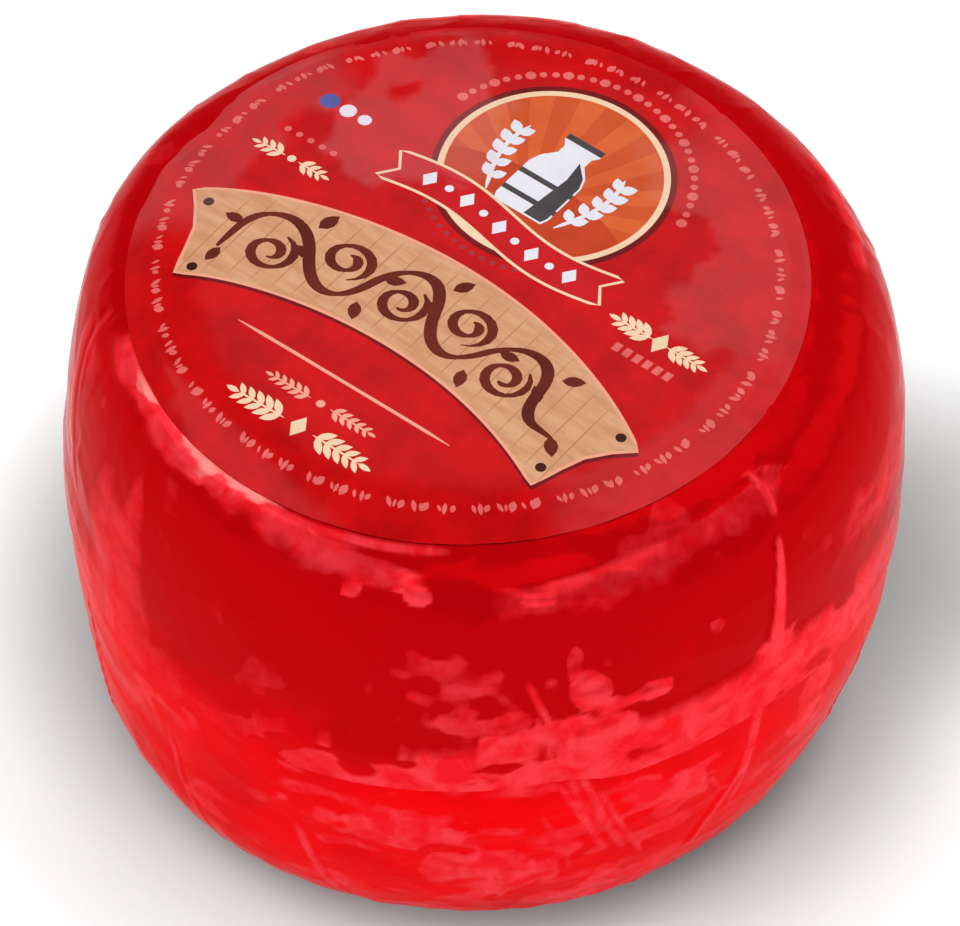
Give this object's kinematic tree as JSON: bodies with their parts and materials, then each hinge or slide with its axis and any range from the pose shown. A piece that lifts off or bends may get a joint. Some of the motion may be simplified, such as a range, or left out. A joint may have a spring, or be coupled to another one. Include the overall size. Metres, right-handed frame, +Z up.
{
  "type": "ball of cheese",
  "caption": "Small squat Edam ball in red wax and tight glossy red film, with a film overlap band round its middle and a round printed label on top.",
  "frame": {"origin": "centre of the flat spot that the ball rests on", "axes": "+Z up through the middle of the ball, +X to the right and -Y to the front as the label is read"},
  "size_m": [0.0768, 0.0768, 0.0562],
  "materials": {
    "wax": "red cheese wax, satin",
    "film": "thin red shrink film, glossy, creased",
    "label": "printed red film label, gloss varnish"
  },
  "bodies": {
    "root": {"cheese": "wax", "film_lower": "film", "film_upper": "film", "label": "label"}
  },
  "joints": []
}
